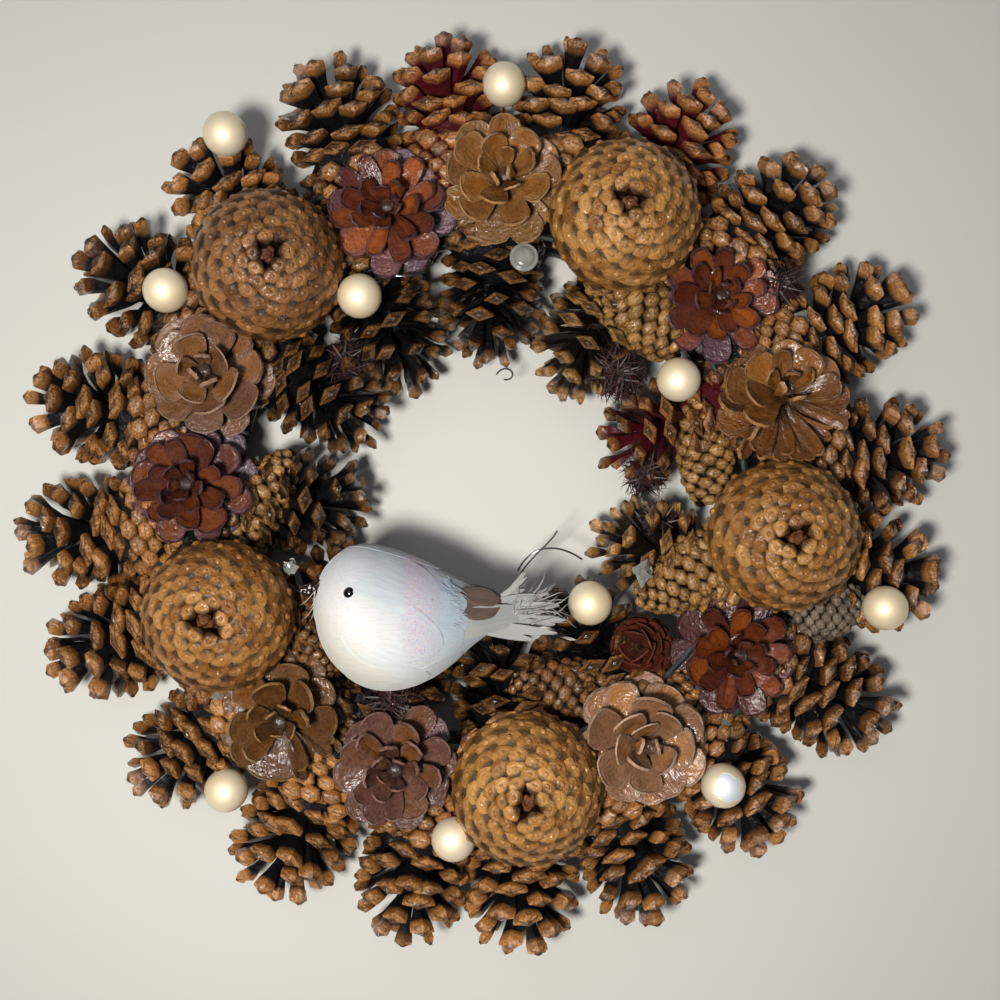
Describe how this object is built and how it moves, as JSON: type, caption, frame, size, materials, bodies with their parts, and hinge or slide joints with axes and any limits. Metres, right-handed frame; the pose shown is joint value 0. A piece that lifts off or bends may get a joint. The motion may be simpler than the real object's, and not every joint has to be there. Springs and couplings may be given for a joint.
{
  "type": "pinecone wreath",
  "caption": "Round wreath of open and closed pinecones on a wire frame, trimmed with cream pearl beads and a white feathered bird.",
  "frame": {"origin": "bottom centre of the whole wreath's box, on the surface that it lies on", "axes": "+Z out of the wreath's decorated face, +X to its right and +Y to its top as it is seen from the front"},
  "size_m": [0.3598, 0.3564, 0.0776],
  "materials": {
    "coated_wire": "dark green-black plastic coat, satin",
    "open_cone_scale": "clear varnish, glossy on the scale faces",
    "closed_cone_scale": "clear varnish, semi-gloss",
    "cut_cone_amber": "clear varnish, glossy",
    "cut_cone_purple": "purple-tinted varnish with a fine glitter, glossy",
    "cut_cone_tan": "clear varnish, semi-gloss",
    "cut_cone_mauve": "mauve-tinted varnish, glossy",
    "cut_cone_red": "red-brown varnish, glossy",
    "pearl_coat": "pearlescent coat",
    "white_feather": "matte feather",
    "beak_plastic": "glossy moulded plastic"
  },
  "bodies": {
    "root": {"wire_frame": "coated_wire", "outer_cone_01": "open_cone_scale", "outer_cone_02": "open_cone_scale", "outer_cone_03": "open_cone_scale", "outer_cone_04": "open_cone_scale", "outer_cone_05": "open_cone_scale", "outer_cone_06": "open_cone_scale", "outer_cone_07": "open_cone_scale", "outer_cone_08": "open_cone_scale", "outer_cone_09": "open_cone_scale", "outer_cone_10": "open_cone_scale", "outer_cone_11": "open_cone_scale", "outer_cone_12": "open_cone_scale", "outer_cone_13": "open_cone_scale", "outer_cone_14": "open_cone_scale", "outer_cone_15": "open_cone_scale", "outer_cone_16": "open_cone_scale", "outer_cone_17": "open_cone_scale", "outer_cone_18": "open_cone_scale", "outer_cone_19": "open_cone_scale", "outer_cone_20": "open_cone_scale", "inner_cone_01": "open_cone_scale", "inner_cone_02": "open_cone_scale", "inner_cone_03": "open_cone_scale", "inner_cone_04": "open_cone_scale", "inner_cone_05": "open_cone_scale", "inner_cone_06": "open_cone_scale", "inner_cone_07": "open_cone_scale", "inner_cone_08": "open_cone_scale", "inner_cone_09": "open_cone_scale", "inner_cone_10": "open_cone_scale", "inner_cone_11": "open_cone_scale", "closed_cone_01": "closed_cone_scale", "closed_cone_02": "closed_cone_scale", "closed_cone_03": "closed_cone_scale", "closed_cone_04": "closed_cone_scale", "closed_cone_05": "closed_cone_scale", "flower_cone_01": "cut_cone_amber", "flower_cone_02": "cut_cone_purple", "flower_cone_03": "cut_cone_tan", "flower_cone_04": "cut_cone_purple", "flower_cone_05": "cut_cone_mauve", "flower_cone_06": "cut_cone_red", "flower_cone_07": "cut_cone_tan", "flower_cone_08": "cut_cone_mauve", "flower_cone_09": "cut_cone_tan", "flower_cone_10": "cut_cone_red", "pearl_01": "pearl_coat", "pearl_02": "pearl_coat", "pearl_03": "pearl_coat", "pearl_04": "pearl_coat", "pearl_05": "pearl_coat", "pearl_06": "pearl_coat", "pearl_07": "pearl_coat", "pearl_08": "pearl_coat", "pearl_09": "pearl_coat", "pearl_10": "pearl_coat", "bird_body": "white_feather", "bird_tail": "white_feather", "bird_beak": "beak_plastic"}
  },
  "joints": []
}
